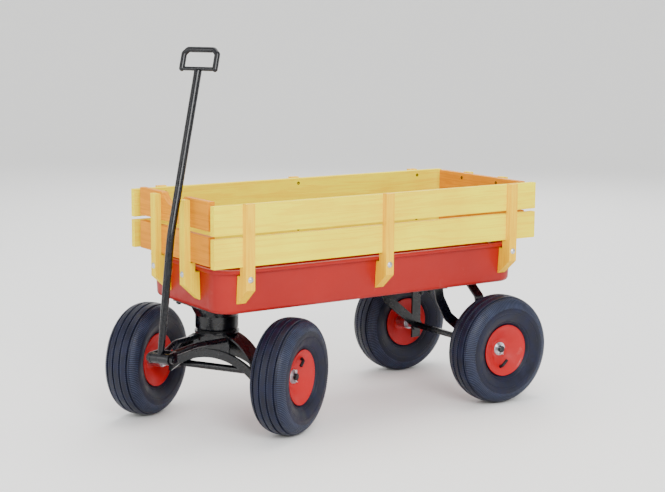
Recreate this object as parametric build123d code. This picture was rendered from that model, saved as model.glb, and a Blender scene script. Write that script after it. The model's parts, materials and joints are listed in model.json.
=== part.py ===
from build123d import *
import os
from math import cos, radians, sin, sqrt

# Steel tray wagon with bolted wooden stake sides, a turntable front axle and a pull handle.
# Millimetres. +X is the pulling end, +Y is the cart's left side and +Z is up. The origin is on
# the ground, under the centre of the whole cart's box. The front axle stands steered to the left,
# with the handle leaning back over the front boards.

# ---------------------------------------------------------------- driving dimensions
TRAY_X = -48.0           # middle of the tray
WHEELBASE = 660.0
STEER = 30.0             # angle that the front axle stands at, about +Z
WHEEL_Z = 130.0          # height of both axles, which is the radius of a tyre
FRONT_HALF_TRACK = 185.0
REAR_HALF_TRACK = 195.0
AXLE_R = 8.0
AXLE_END, PIN_OUT, PIN_R = 18.5, 15.0, 1.6   # past the wheel's middle plane; split pin
SIDE_PLAY = 0.5          # between a wheel's bearings and the washers beside it
RUNNING_GAP = 0.08       # radial gap of a pin in a hole that turns on it
FIXED_GAP = 0.05         # radial gap of a bolt in a hole that stays still

TRAY_LENGTH, TRAY_WIDTH = 852.0, 352.0      # over the rolled rim
TRAY_Z, TRAY_DEPTH = 282.0, 98.0            # underside of the floor, and height to the rim
TRAY_WALL = 1.5
RIM_D = 9.0              # thickness of the rolled rim
SIDE_SLOPE, END_SLOPE = 7.0, 3.0            # how far the walls lean out over their height
TRAY_CORNER = 48.0
FLOOR_SEAM = 12.0        # from the walls' foot in to the welded edge of the floor

BOARD_T, BOARD_H = 15.0, 63.0
BOARD_OUT = 12.5         # outer face of the boards, beyond the rim
SIDE_BOARD_LENGTH, END_BOARD_LENGTH = 888.0, 311.0
SIDE_BOARD_Z = (389.0, 459.0)               # undersides of the lower and upper board
FRONT_BOARD_Z = (390.5, 465.5)
SCOOP_DEPTH, SCOOP_R, SCOOP_LIP_R = 28.0, 58.0, 12.0

STAKE_W, STAKE_T = 22.0, 15.0
STAKE_TOP, STAKE_FOOT = 524.0, 306.0
STAKE_BEVEL = 34.0       # height of the slanting foot
SIDE_STAKE_X = (-364.0, 0.0, 364.0)         # from the middle of the tray
END_STAKE_Y = (-66.0, 66.0)
STAKE_BOLT_Z = 363.0

FRONT_X = TRAY_X + WHEELBASE / 2            # kingpin and front axle
REAR_X = TRAY_X - WHEELBASE / 2             # rear axle
RIM_X, RIM_Y = TRAY_LENGTH / 2, TRAY_WIDTH / 2
RIM_Z = TRAY_Z + TRAY_DEPTH
BOARD_X, BOARD_Y = RIM_X + BOARD_OUT, RIM_Y + BOARD_OUT

# Front axle and turntable
TURRET_R, TURRET_SKIRT_R, TURRET_T = 48.5, 61.0, 3.0
ARCH_TOP, ARCH_R, ARCH_UNDER_R, ARCH_UNDER_CROWN = 212.0, 110.0, 150.0, 157.5
ARCH_CENTRE_Z = 108.0
ARCH_HALF_W, ARCH_T, ARCH_FOOT_Z = 26.0, 4.0, 116.0
ARCH_LIP, ARCH_LIP_T = 18.5, 4.0
TURNTABLE_R, TURNTABLE_T = 50.0, 5.0
THRUST_R, THRUST_T, THRUST_GAP = 44.0, 3.0, 0.4
WINDOW_Y = 46.0          # the arch's front web is open beyond this distance from the kingpin
KINGPIN_R = 8.0
FLOOR_BOLT_R, FLUSH_HEAD_R = 4.0, 8.0       # bolts that hold the running gear to the tray's floor

# Rear hanger and braces
STRAP_W, STRAP_T, LEG_Y, LEG_FOOT = 26.0, 5.0, 125.0, 98.0
SHOULDER_Y, SHOULDER_Z, STRAP_BEND_R = 78.0, 243.0, 18.0
BRACE_Y, BRACE_T, BRACE_W, BRACE_FOOT_T = 117.0, 4.5, 24.0, 4.5

# Tongue and handle, in the plane of the steered axle: forward of the kingpin, and height
PIVOT_R, PIVOT_Z = 236.0, 199.0
PIVOT_BOLT_R = 5.0
CLEVIS_HALF_W, CLEVIS_T, CLEVIS_H = 24.0, 4.0, 24.0
ROD_R = 6.0
SHAFT_R = 8.5
BEND = (191.7, 452.0)
SHAFT_TOP = (75.5, 795.0)
BEND_RADIUS = 220.0
LOOP_HALF_W, LOOP_H, LOOP_ROD_R, LOOP_CROSS_R = 41.0, 42.5, 6.2, 4.5

# Wheels, measured from the wheel's middle plane, outwards
TYRE_R, TYRE_HALF_W, TYRE_SHOULDER_R = WHEEL_Z, 42.5, 95.0
TYRE_CROWN_T, TYRE_SIDE_T, GROOVE_W = 9.0, 5.0, 3.6
CROWN_POWER, CROWN_STEPS = 0.77, 9
TUBE_MIDDLE_R, TUBE_R, TUBE_T = 85.0, 28.0, 2.5
BEAD_R, FLANGE_R, FLANGE_OUT, RIM_T = 50.8, 61.5, 30.5, 2.0
DISH_R, DISH_IN = 25.0, 8.5
DISH_SLOPE = (FLANGE_OUT - 0.6 - DISH_IN) / (FLANGE_R - 1.5 - DISH_R)
HUB_OUT, HUB_IN, HUB_R = 9.0, 43.0, 16.0
BEARING_R, BEARING_W, BEARING_PROUD = 14.0, 9.0, 1.5
VALVE_R = 3.6
VALVE_TURN = {"front_left": 165.0, "front_right": 60.0, "rear_left": 0.0, "rear_right": -70.0}


# ---------------------------------------------------------------- helpers
def block(low, high):
    """Box between two corners."""
    size = [b - a for a, b in zip(low, high)]
    middle = [(a + b) / 2 for a, b in zip(low, high)]
    return Pos(*middle) * Box(*size)


def rod(radius, start, end):
    """Round bar between two points."""
    axis = Vector(*end) - Vector(*start)
    return Plane(origin=start, z_dir=axis) * Cylinder(
        radius, axis.length, align=(Align.CENTER, Align.CENTER, Align.MIN))


def hexagon(across_flats, start, end):
    """Hexagonal bar between two points."""
    axis = Vector(*end) - Vector(*start)
    outline = Plane(origin=start, z_dir=axis) * RegularPolygon(across_flats / sqrt(3), 6)
    return extrude(outline, axis.length, dir=axis)


def dome(radius, height, start, direction):
    """Shallow domed bolt head that stands on a face."""
    ball_r = (radius ** 2 + height ** 2) / (2 * height)
    base = Plane(origin=start, z_dir=direction)
    head = Cylinder(radius, height, align=(Align.CENTER, Align.CENTER, Align.MIN))
    return base * (head & Pos(0, 0, height - ball_r) * Sphere(ball_r))


def spin(outline):
    """Solid of revolution about the wheel's axle, from an outline of (radius, offset) on XY."""
    turned = Plane(origin=(0, 0, 0), x_dir=(1, 0, 0), z_dir=(0, 0, 1)) * outline
    return revolve(turned, Axis.Y, 360)


def steered(part):
    """Place a piece of the front axle, drawn with the kingpin at X = Y = 0 and +X forward."""
    return Pos(FRONT_X, 0, 0) * Rot(0, 0, STEER) * part


def several(pieces):
    """Keep separate solids together in one node."""
    return Compound(children=[solid for piece in pieces for solid in piece.solids()])


NODES = {}


def rounded_block(length, width, corner, z, height):
    return Pos(TRAY_X, 0, z) * extrude(RectangleRounded(length, width, corner), height)


def tray_form(inset, bottom_round):
    """Solid that the tray's wall follows, shrunk by inset all round."""
    wall_x, wall_y = RIM_X - RIM_D, RIM_Y - RIM_D
    foot = RectangleRounded(2 * (wall_x - END_SLOPE - inset), 2 * (wall_y - SIDE_SLOPE - inset),
                            TRAY_CORNER - inset)
    top = RectangleRounded(2 * (wall_x - inset), 2 * (wall_y - inset), TRAY_CORNER + 3 - inset)
    low = TRAY_Z + inset
    form = loft([Pos(TRAY_X, 0, low) * foot, Pos(TRAY_X, 0, RIM_Z) * top])
    return fillet(form.faces().sort_by(Axis.Z)[0].edges(), bottom_round)


def make_tray():
    """Pressed tray with leaning walls, rounded corners and an outward rolled rim."""
    roll = rounded_block(TRAY_LENGTH, TRAY_WIDTH, TRAY_CORNER + 12, RIM_Z - RIM_D, RIM_D)
    ring_edges = roll.faces().sort_by(Axis.Z)[0].edges() + roll.faces().sort_by(Axis.Z)[-1].edges()
    roll = fillet(ring_edges, RIM_D / 2 - 0.2)
    return tray_form(0, 10) + roll - tray_form(TRAY_WALL, 10 - TRAY_WALL)


def part_floor(tray):
    """The flat floor sheet, and the walls that it is seam welded into, just inside their bend."""
    x = RIM_X - RIM_D - END_SLOPE - FLOOR_SEAM
    y = RIM_Y - RIM_D - SIDE_SLOPE - FLOOR_SEAM
    corner = TRAY_CORNER - FLOOR_SEAM
    sheet = rounded_block(2 * x, 2 * y, corner, TRAY_Z - TRAY_WALL, 3 * TRAY_WALL)
    return tray & sheet, tray - sheet


# ---------------------------------------------------------------- boards and stakes
def eased(board, radius=1.5):
    """Take the sharp arris off the long edges of a board."""
    longest = max(edge.length for edge in board.edges())
    return fillet([edge for edge in board.edges() if edge.length > 0.97 * longest], radius)


def side_board(side, z):
    inner, outer = sorted((side * BOARD_Y, side * (BOARD_Y - BOARD_T)))
    half = SIDE_BOARD_LENGTH / 2
    return eased(block((TRAY_X - half, inner, z), (TRAY_X + half, outer, z + BOARD_H)))


def end_board(end, z):
    near, far = sorted((TRAY_X + end * BOARD_X, TRAY_X + end * (BOARD_X - BOARD_T)))
    half = END_BOARD_LENGTH / 2
    return eased(block((near, -half, z), (far, half, z + BOARD_H)))


def scoop(top):
    """Dip in the top of the front board, where the handle folds back, with rounded lips."""
    lip_drop = top - SCOOP_LIP_R
    low = top - SCOOP_DEPTH
    rise = low + SCOOP_R - lip_drop
    lip_y = sqrt((SCOOP_R + SCOOP_LIP_R) ** 2 - rise ** 2)
    meet = SCOOP_R / (SCOOP_R + SCOOP_LIP_R)
    meet_y, meet_z = lip_y * meet, low + SCOOP_R - rise * meet
    lip_mid = (lip_y - SCOOP_LIP_R * sin(radians(25)), lip_drop + SCOOP_LIP_R * cos(radians(25)))
    outline = Polyline((-lip_y, top), (-lip_y, top + 5), (lip_y, top + 5), (lip_y, top))
    outline += ThreePointArc((lip_y, top), lip_mid, (meet_y, meet_z))
    outline += ThreePointArc((meet_y, meet_z), (0, low), (-meet_y, meet_z))
    outline += ThreePointArc((-meet_y, meet_z), (-lip_mid[0], lip_mid[1]), (-lip_y, top))
    face = make_face(Plane.YZ * outline)
    return extrude(Pos(TRAY_X + BOARD_X - 2 * BOARD_T, 0, 0) * face, 3 * BOARD_T, dir=(1, 0, 0))


def stake(slope):
    """One stake, drawn for a wall that faces +X with the board's outer face at X = 0.

    It stands on the boards above the rim, steps in round the rolled rim, and reaches the
    tray's wall below it. Its foot slants back to the wall.
    """
    wall_top = -(BOARD_OUT + RIM_D) + 0.2
    notch_z = RIM_Z - RIM_D - 3.0
    wall_notch = wall_top - slope * (RIM_Z - notch_z) / TRAY_DEPTH
    wall_foot = wall_top - slope * (RIM_Z - STAKE_FOOT) / TRAY_DEPTH
    outline = Polyline(
        (0.1, STAKE_TOP), (STAKE_T, STAKE_TOP), (STAKE_T, STAKE_FOOT + STAKE_BEVEL),
        (wall_foot + 2.0, STAKE_FOOT), (wall_foot, STAKE_FOOT), (wall_notch, notch_z),
        (1.0 - BOARD_OUT, notch_z), (1.0 - BOARD_OUT, SIDE_BOARD_Z[0] - 1.5),
        (0.1, SIDE_BOARD_Z[0] - 1.5), close=True)
    post = extrude(make_face(Plane.XZ * outline), STAKE_W / 2, both=True)
    upright = [edge for edge in post.edges().filter_by(Axis.Z) if edge.center().X > STAKE_T - 1]
    return fillet(upright + post.edges().filter_by(Axis.Y).group_by(Axis.Z)[-1], 1.2)


def stake_places():
    """Angle, foot point and wall slope of every stake, grouped by the wall it stands on."""
    left = [(90, (TRAY_X + x, BOARD_Y), SIDE_SLOPE) for x in SIDE_STAKE_X]
    right = [(-90, (TRAY_X + x, -BOARD_Y), SIDE_SLOPE) for x in SIDE_STAKE_X]
    front = [(0, (TRAY_X + BOARD_X, y), END_SLOPE) for y in END_STAKE_Y]
    rear = [(180, (TRAY_X - BOARD_X, y), END_SLOPE) for y in END_STAKE_Y]
    return {"left_stakes": left, "right_stakes": right, "front_stakes": front, "rear_stakes": rear}


def at_stake(place, part):
    angle, (x, y), _ = place
    return Pos(x, y, 0) * Rot(0, 0, angle) * part


def board_screw(z):
    """Countersunk wood screw from the inner face of a board into its stake."""
    inner = -BOARD_T
    head = Plane(origin=(inner + 0.2, 0, z), z_dir=(1, 0, 0)) * Cone(
        3.9, 2.0, 2.4, align=(Align.CENTER, Align.CENTER, Align.MIN))
    return head + rod(2.0, (inner + 2.6, 0, z), (STAKE_T - 3.0, 0, z))


def stake_bolt(slope):
    """Carriage bolt through a stake's foot and the tray's wall, with its washer and nut."""
    wall = -(BOARD_OUT + RIM_D) - slope * (RIM_Z - STAKE_BOLT_Z) / TRAY_DEPTH
    inside = wall - TRAY_WALL - 0.9
    z = STAKE_BOLT_Z
    bolt = dome(7.0, 3.6, (STAKE_T, 0, z), (1, 0, 0)) + rod(3.0, (STAKE_T, 0, z), (inside - 9, 0, z))
    washer = rod(7.0, (inside, 0, z), (inside - 1.2, 0, z)) - rod(3.05, (inside + 1, 0, z), (inside - 3, 0, z))
    nut = hexagon(10.0, (inside - 1.25, 0, z), (inside - 6.25, 0, z))
    nut = nut - rod(3.05, (inside + 1, 0, z), (inside - 12, 0, z))
    return bolt, washer, nut


def make_sides(tray):
    """All boards and stakes, with the screws and bolts that hold them to the tray."""
    boards = {
        f"{name}_{level}_board": side_board(side, z)
        for name, side in (("left", 1), ("right", -1))
        for level, z in zip(("lower", "upper"), SIDE_BOARD_Z)
    }
    boards["front_lower_board"] = end_board(1, FRONT_BOARD_Z[0])
    boards["front_upper_board"] = end_board(1, FRONT_BOARD_Z[1]) - scoop(FRONT_BOARD_Z[1] + BOARD_H)
    boards["rear_lower_board"] = end_board(-1, SIDE_BOARD_Z[0])
    boards["rear_upper_board"] = end_board(-1, SIDE_BOARD_Z[1])

    screws, bolts, nuts = [], [], []
    for group, places in stake_places().items():
        wall = group.split("_")[0]
        lower_z, upper_z = FRONT_BOARD_Z if wall == "front" else SIDE_BOARD_Z
        screw_heights = {"lower": lower_z + 8.0, "upper": upper_z + BOARD_H - 12.0}
        posts = []
        for place in places:
            post = at_stake(place, stake(place[2]))
            for level, z in screw_heights.items():
                screw = at_stake(place, board_screw(z))
                name = f"{wall}_{level}_board"
                boards[name] = boards[name] - screw
                post = post - screw
                screws.append(screw)
            hole = at_stake(place, rod(3.0 + FIXED_GAP, (40, 0, STAKE_BOLT_Z), (-60, 0, STAKE_BOLT_Z)))
            tray = tray - hole
            posts.append(post - hole)
            bolt, washer, nut = stake_bolt(place[2])
            bolts.append(at_stake(place, bolt))
            nuts += [at_stake(place, washer), at_stake(place, nut)]
        NODES[group] = several(posts)
    NODES.update(boards)
    NODES["board_screws"] = several(screws)
    NODES["stake_bolts"] = several(bolts)
    NODES["stake_nuts"] = several(nuts)
    return tray


# ---------------------------------------------------------------- turntable and front axle
def turntable_levels():
    """Heights of the stack on the kingpin: turntable, thrust washer and turret floor."""
    turntable = ARCH_TOP
    washer = turntable + TURNTABLE_T
    floor = washer + THRUST_T + THRUST_GAP
    return turntable, washer, floor


def floor_bolt(x, y, under):
    """Flat-headed bolt, flush with the tray's floor, with a nut below the piece above its end."""
    head = Cone(FLOOR_BOLT_R, FLUSH_HEAD_R, TRAY_WALL, align=(Align.CENTER, Align.CENTER, Align.MIN))
    bolt = Pos(x, y, TRAY_Z) * head + rod(FLOOR_BOLT_R, (x, y, TRAY_Z), (x, y, under - 9))
    nut = hexagon(13.0, (x, y, under), (x, y, under - 6.5))
    return [bolt, nut - rod(FLOOR_BOLT_R + FIXED_GAP, (x, y, under + 1), (x, y, under - 12))]


def floor_hole(x, y):
    """Hole for a flush bolt, dished where it passes through the tray's floor."""
    dish = Cone(FLOOR_BOLT_R + FIXED_GAP, FLUSH_HEAD_R + FIXED_GAP, TRAY_WALL,
                align=(Align.CENTER, Align.CENTER, Align.MIN))
    return Pos(x, y, TRAY_Z) * dish + rod(FLOOR_BOLT_R + FIXED_GAP, (x, y, TRAY_Z - 20), (x, y, TRAY_Z))


def make_turret(tray):
    """Fixed half of the steering: base plate, turret cup, kingpin and the bolts to the tray."""
    _, _, floor = turntable_levels()
    plate_low = TRAY_Z - 3.0
    plate = Pos(FRONT_X, 0, plate_low) * extrude(RectangleRounded(150, 150, 12), 3.0)
    skirt = TURRET_SKIRT_R
    t = TURRET_T
    outline = Polyline(
        (KINGPIN_R + FIXED_GAP, floor), (TURRET_R - 4, floor), (TURRET_R, floor + 4), (TURRET_R, 252),
        (skirt, plate_low - t), (skirt + 8, plate_low - t), (skirt + 8, plate_low), (skirt - 2, plate_low),
        (TURRET_R - t, 253), (TURRET_R - t, floor + 5), (TURRET_R - 5, floor + t),
        (KINGPIN_R + FIXED_GAP, floor + t), close=True)
    turret = Pos(FRONT_X, 0, 0) * revolve(make_face(Plane.XZ * outline), Axis.Z, 360)

    head_top = ARCH_TOP - ARCH_T - 0.4
    kingpin = rod(KINGPIN_R, (FRONT_X, 0, head_top), (FRONT_X, 0, floor + t + 20))
    kingpin += hexagon(24.0, (FRONT_X, 0, head_top), (FRONT_X, 0, head_top - 10))
    nut_low = floor + t + 2.5
    bore = rod(KINGPIN_R + FIXED_GAP, (FRONT_X, 0, floor), (FRONT_X, 0, floor + 40))
    nut = hexagon(24.0, (FRONT_X, 0, nut_low), (FRONT_X, 0, nut_low + 13)) - bore
    washer = rod(15.0, (FRONT_X, 0, floor + t), (FRONT_X, 0, floor + t + 2.4)) - bore

    bolts = []
    for dx in (-62, 62):
        for dy in (-62, 62):
            bolts += floor_bolt(FRONT_X + dx, dy, plate_low)
            hole = floor_hole(FRONT_X + dx, dy)
            tray, plate = tray - hole, plate - hole
    NODES["turret_base_plate"] = plate
    NODES["turret_cup"] = turret
    NODES["kingpin_bolt"] = kingpin
    NODES["kingpin_nut"] = several([nut, washer])
    return tray, bolts


def arch_outline(radius, top, foot):
    """Crescent of the axle arch: round above, and flatter below."""
    centre = Pos(0, ARCH_CENTRE_Z) * Circle(radius)
    band = Pos(0, (top + foot) / 2) * Rectangle(4 * radius, top - foot)
    hollow = Pos(0, ARCH_UNDER_CROWN - ARCH_UNDER_R) * Circle(ARCH_UNDER_R)
    return centre & band, hollow


def make_front_axle():
    """Steered half of the front: arch, turntable, thrust washer, axle and its hardware."""
    turntable_z, washer_z, _ = turntable_levels()
    lens, hollow = arch_outline(ARCH_R, ARCH_TOP, ARCH_FOOT_Z)
    inner, _ = arch_outline(ARCH_R - ARCH_T, ARCH_TOP - ARCH_T, ARCH_FOOT_Z - 20)
    solid = extrude(Plane.YZ * (lens - hollow), ARCH_HALF_W, both=True)
    room = extrude(Plane.YZ * inner, ARCH_HALF_W - ARCH_T, both=True)
    lip_band = (Pos(0, ARCH_UNDER_CROWN - ARCH_UNDER_R) * Circle(ARCH_UNDER_R + ARCH_LIP)) & lens
    lip = extrude(Plane.YZ * (lip_band - hollow), ARCH_HALF_W + ARCH_LIP_T, both=True)
    lip = lip - extrude(Plane.YZ * Circle(400), ARCH_HALF_W - 0.5, both=True)
    window = (inner - Circle(ARCH_UNDER_R + ARCH_LIP).moved(Location((0, ARCH_UNDER_CROWN - ARCH_UNDER_R))))
    for side in (-1, 1):
        half = Pos(side * (WINDOW_Y + 100), ARCH_TOP) * Rectangle(200, 400)
        solid = solid - extrude(Plane.YZ * (window & half), 2 * ARCH_HALF_W, dir=(1, 0, 0))
    arch = solid - room + lip
    arch = arch - rod(KINGPIN_R + RUNNING_GAP, (0, 0, 150), (0, 0, 250))
    arch = arch - rod(AXLE_R + FIXED_GAP, (0, -200, WHEEL_Z), (0, 200, WHEEL_Z))

    bore = rod(KINGPIN_R + RUNNING_GAP, (0, 0, 150), (0, 0, 260))
    turntable = Pos(0, 0, turntable_z) * extrude(Circle(TURNTABLE_R), TURNTABLE_T)
    turntable = fillet(turntable.edges().sort_by(Axis.Z)[0], 1.5) - bore
    thrust = Pos(0, 0, washer_z) * extrude(Circle(THRUST_R), THRUST_T) - bore

    NODES["front_axle_arch"] = steered(arch)
    NODES["turntable_plate"] = steered(turntable)
    NODES["thrust_washer"] = steered(thrust)
    NODES["front_axle"] = steered(axle_bar(FRONT_HALF_TRACK))
    hardware = axle_hardware(FRONT_HALF_TRACK, ARCH_R + 0.5)
    NODES["front_axle_washers_and_pins"] = several([steered(piece) for piece in hardware])


def axle_bar(half_track):
    """Plain round axle, drilled across each end for a split pin."""
    half_length = half_track + AXLE_END
    bar = rod(AXLE_R, (0, -half_length, WHEEL_Z), (0, half_length, WHEEL_Z))
    bar = chamfer(bar.edges().filter_by(GeomType.CIRCLE), 1.0)
    for side in (-1, 1):
        y = side * (half_track + PIN_OUT)
        bar -= rod(PIN_R + FIXED_GAP, (0, y, WHEEL_Z - 20), (0, y, WHEEL_Z + 20))
    return bar


def split_pin(y):
    """Split pin through an axle's end, with its eye on top and its legs bent apart below."""
    pin = rod(PIN_R, (0, y, WHEEL_Z - AXLE_R - 3.0), (0, y, WHEEL_Z + AXLE_R + 1.5))
    eye = Pos(0, y, WHEEL_Z + AXLE_R + 4.5) * Rot(90, 0, 0) * Torus(3.0, 1.1)
    for way in (-1, 1):
        pin += rod(PIN_R * 0.7, (0, y, WHEEL_Z - AXLE_R - 2.6), (way * 7.0, y, WHEEL_Z - AXLE_R - 5.0))
    return pin + eye


def axle_hardware(half_track, inner_stop):
    """Spacer tube, two washers and a split pin for both ends of an axle."""
    hole = rod(AXLE_R + FIXED_GAP, (0, -400, WHEEL_Z), (0, 400, WHEEL_Z))
    hub_in = half_track - HUB_IN - BEARING_PROUD - SIDE_PLAY
    hub_out = half_track + HUB_OUT + BEARING_PROUD + SIDE_PLAY
    pieces = []
    for side in (-1, 1):
        spans = [(11.0, inner_stop, hub_in - 2.1), (13.5, hub_in - 2.0, hub_in), (12.0, hub_out, hub_out + 1.5)]
        for radius, start, end in spans:
            pieces.append(rod(radius, (0, side * start, WHEEL_Z), (0, side * end, WHEEL_Z)) - hole)
        pieces.append(split_pin(side * (half_track + PIN_OUT)))
    return pieces


# ---------------------------------------------------------------- tongue and handle
def round_sweep(path, radius):
    """Round bar along a path."""
    section = Plane(origin=path @ 0, z_dir=path % 0) * Circle(radius)
    return sweep(section, path=path)


def make_tongue():
    """Two bowed rods from the arch to the clevis, and the bolt that the handle turns on."""
    back = PIVOT_R - 24.0
    low, high = PIVOT_Z - CLEVIS_H / 2, PIVOT_Z + CLEVIS_H / 2
    clevis = block((back - CLEVIS_T, -CLEVIS_HALF_W, low), (back, CLEVIS_HALF_W, high))
    for side in (-1, 1):
        ear_low, ear_high = sorted((side * CLEVIS_HALF_W, side * (CLEVIS_HALF_W - CLEVIS_T)))
        ear = block((back - CLEVIS_T, ear_low, low), (PIVOT_R, ear_high, high))
        ear += rod(CLEVIS_H / 2, (PIVOT_R, ear_low, PIVOT_Z), (PIVOT_R, ear_high, PIVOT_Z))
        clevis += ear
        path = FilletPolyline(
            (ARCH_HALF_W + 3, side * 38, 201), (135, side * 27, 210), (back - 2, side * 9, 203), radius=150)
        clevis += round_sweep(path, ROD_R)
        foot = block((ARCH_HALF_W + 0.1, side * 38 - 8, 193), (ARCH_HALF_W + 4, side * 38 + 8, 209))
        clevis += foot
    clevis -= rod(PIVOT_BOLT_R + FIXED_GAP, (PIVOT_R, -40, PIVOT_Z), (PIVOT_R, 40, PIVOT_Z))

    face = CLEVIS_HALF_W + 0.05
    bolt = rod(PIVOT_BOLT_R, (PIVOT_R, -face, PIVOT_Z), (PIVOT_R, face + 12, PIVOT_Z))
    bolt += hexagon(16.0, (PIVOT_R, -face, PIVOT_Z), (PIVOT_R, -face - 6.4, PIVOT_Z))
    nut = hexagon(16.0, (PIVOT_R, face, PIVOT_Z), (PIVOT_R, face + 9, PIVOT_Z))
    nut = nut - rod(PIVOT_BOLT_R + FIXED_GAP, (PIVOT_R, 0, PIVOT_Z), (PIVOT_R, 60, PIVOT_Z))
    NODES["tongue"] = steered(clevis)
    NODES["handle_pivot_bolt"] = steered(bolt)
    NODES["handle_pivot_nut"] = steered(nut)


def make_handle():
    """Bent tube with a flattened foot, a cross sleeve on the pivot bolt and a loop grip."""
    pivot = Vector(PIVOT_R, 0, PIVOT_Z)
    bend = Vector(BEND[0], 0, BEND[1])
    top = Vector(SHAFT_TOP[0], 0, SHAFT_TOP[1])
    lower, upper = (bend - pivot).normalized(), (top - bend).normalized()
    round_from = pivot + lower * 120
    path = FilletPolyline(tuple(round_from), tuple(bend), tuple(top), radius=BEND_RADIUS)
    tube = round_sweep(path, SHAFT_R) - round_sweep(path, SHAFT_R - 2.0)
    foot_plane = Plane(origin=pivot + lower * 6, x_dir=(0, 1, 0), z_dir=lower)
    neck_plane = Plane(origin=round_from, x_dir=(0, 1, 0), z_dir=lower)
    foot = loft([foot_plane * Ellipse(5.8, 9.8), neck_plane * Circle(SHAFT_R)])
    half = CLEVIS_HALF_W - CLEVIS_T - 0.4
    sleeve = rod(11.0, (PIVOT_R, -half, PIVOT_Z), (PIVOT_R, half, PIVOT_Z))
    shaft = tube + foot + sleeve
    shaft -= rod(PIVOT_BOLT_R + RUNNING_GAP, (PIVOT_R, -60, PIVOT_Z), (PIVOT_R, 60, PIVOT_Z))

    frame = Plane(origin=top + upper * (LOOP_CROSS_R + 0.1), x_dir=(0, 1, 0), z_dir=upper.cross(Vector(0, 1, 0)))
    rise = 1 if (frame.y_dir.Z > 0) else -1
    high, chamfer_cut = rise * LOOP_H, 9.0
    bow = FilletPolyline(
        (-LOOP_HALF_W, 0), (-LOOP_HALF_W, rise * (LOOP_H - chamfer_cut)), (-LOOP_HALF_W + chamfer_cut, high),
        (LOOP_HALF_W - chamfer_cut, high), (LOOP_HALF_W, rise * (LOOP_H - chamfer_cut)), (LOOP_HALF_W, 0),
        radius=5.0)
    bow = frame * bow
    loop = round_sweep(bow, LOOP_ROD_R)
    for side in (-1, 1):
        loop += frame * Pos(side * LOOP_HALF_W, 0, 0) * Sphere(LOOP_ROD_R)
    cross = frame * Rot(0, 90, 0) * Cylinder(LOOP_CROSS_R, 2 * LOOP_HALF_W)
    loop += cross
    NODES["handle_shaft"] = steered(shaft)
    NODES["handle_loop"] = steered(loop)


# ---------------------------------------------------------------- rear axle
def brace(side):
    """Flat bar on edge from the axle up to the tray, with a bolted foot that runs forward."""
    spine = FilletPolyline(
        (REAR_X, WHEEL_Z), (REAR_X + 92, WHEEL_Z + 74), (REAR_X + 118, WHEEL_Z + 120),
        (REAR_X + 124, TRAY_Z - BRACE_FOOT_T), radius=22)
    bar = extrude(Plane.XZ * trace(spine, BRACE_W), BRACE_T, dir=(0, 1, 0))
    low = min(side * BRACE_Y, side * (BRACE_Y + BRACE_T))
    bar = Pos(0, low, 0) * bar + rod(14.0, (REAR_X, low, WHEEL_Z), (REAR_X, low + BRACE_T, WHEEL_Z))
    foot_low, foot_high = sorted((side * BRACE_Y, side * (BRACE_Y + 23)))
    bar += block((REAR_X + 112, foot_low, TRAY_Z - BRACE_FOOT_T), (REAR_X + 196, foot_high, TRAY_Z))
    return bar & block((REAR_X - 40, -200, 50), (REAR_X + 240, 200, TRAY_Z))


def make_rear(tray):
    """Strap hanger, two raked braces, rear axle and the bolts under the tray."""
    strap_z = TRAY_Z - STRAP_T / 2
    path = FilletPolyline(
        (REAR_X, -LEG_Y, LEG_FOOT), (REAR_X, -LEG_Y, SHOULDER_Z), (REAR_X, -SHOULDER_Y, strap_z),
        (REAR_X, SHOULDER_Y, strap_z), (REAR_X, LEG_Y, SHOULDER_Z), (REAR_X, LEG_Y, LEG_FOOT),
        radius=STRAP_BEND_R)
    section = Plane(origin=path @ 0, x_dir=(1, 0, 0), z_dir=path % 0) * Rectangle(STRAP_W, STRAP_T)
    axle_hole = rod(AXLE_R + FIXED_GAP, (REAR_X, -200, WHEEL_Z), (REAR_X, 200, WHEEL_Z))
    hanger = sweep(section, path=path) - axle_hole

    braces, bolts = [], []
    for side in (-1, 1):
        bar = brace(side) - axle_hole
        for x in (REAR_X + 156, REAR_X + 182):
            bolts += floor_bolt(x, side * 129, TRAY_Z - BRACE_FOOT_T)
            hole = floor_hole(x, side * 129)
            bar, tray = bar - hole, tray - hole
        braces.append(bar)
        bolts += floor_bolt(REAR_X, side * 45, TRAY_Z - STRAP_T)
        hole = floor_hole(REAR_X, side * 45)
        hanger, tray = hanger - hole, tray - hole
    NODES["rear_axle_hanger"] = hanger
    NODES["rear_axle_braces"] = several(braces)
    NODES["rear_axle"] = Pos(REAR_X, 0, 0) * axle_bar(REAR_HALF_TRACK)
    hardware = axle_hardware(REAR_HALF_TRACK, LEG_Y + STRAP_T / 2 + 0.5)
    NODES["rear_axle_washers_and_pins"] = several([Pos(REAR_X, 0, 0) * piece for piece in hardware])
    return tray, bolts


# ---------------------------------------------------------------- wheels
def crown(radius, half_width):
    """Points of the rounded tread and shoulders, from one shoulder to the other."""
    points = []
    for i in range(2 * CROWN_STEPS + 1):
        c, s = cos(radians(90 * i / CROWN_STEPS)), sin(radians(90 * i / CROWN_STEPS))
        side = half_width * abs(c) ** CROWN_POWER * (1 if c >= 0 else -1)
        points.append((TYRE_SHOULDER_R + (radius - TYRE_SHOULDER_R) * s ** CROWN_POWER, side))
    return points


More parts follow.
